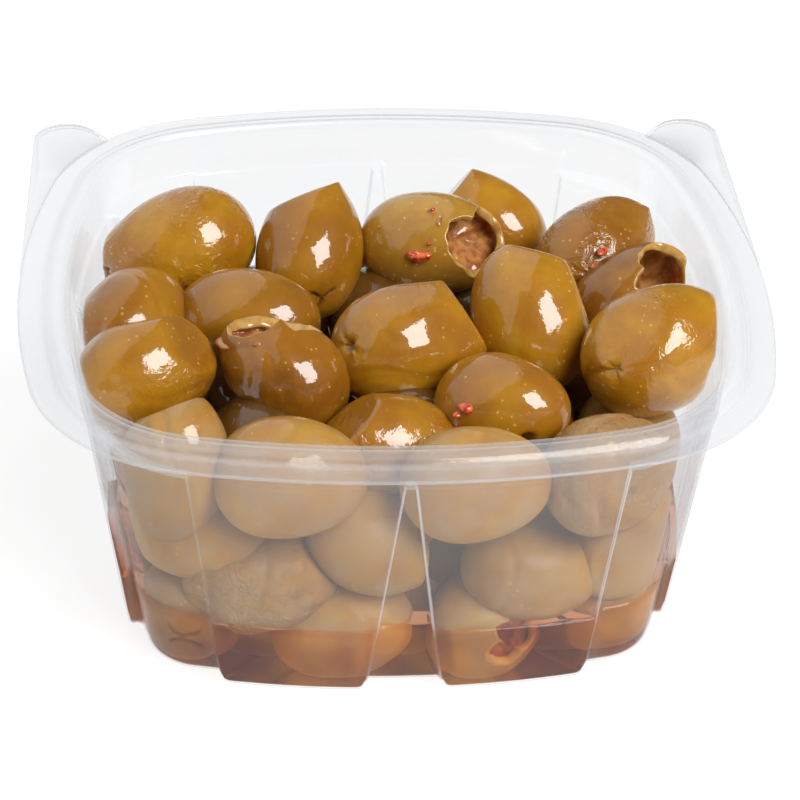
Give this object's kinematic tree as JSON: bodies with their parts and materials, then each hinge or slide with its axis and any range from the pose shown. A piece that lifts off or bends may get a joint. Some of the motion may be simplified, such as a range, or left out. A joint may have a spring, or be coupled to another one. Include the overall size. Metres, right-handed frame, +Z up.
{
  "type": "open clear plastic deli tub of pitted green olives in oil",
  "caption": "Open clear plastic deli tub, square with round corners, a wide flange, back grip tabs and ribbed panels, heaped with pitted green olives in oil.",
  "frame": {"origin": "middle of the underside of the tub's base", "axes": "+Z up through the open top, -Y to the front, +Y to the side with the two tabs"},
  "size_m": [0.1258, 0.124, 0.054],
  "materials": {
    "clear_plastic": "clear, glossy, thermoformed",
    "olive_flesh": "wet with oil",
    "oil": "clear amber liquid",
    "chilli": "wet with oil"
  },
  "bodies": {
    "root": {"tub": "clear_plastic", "olives": "olive_flesh"}
  },
  "joints": []
}
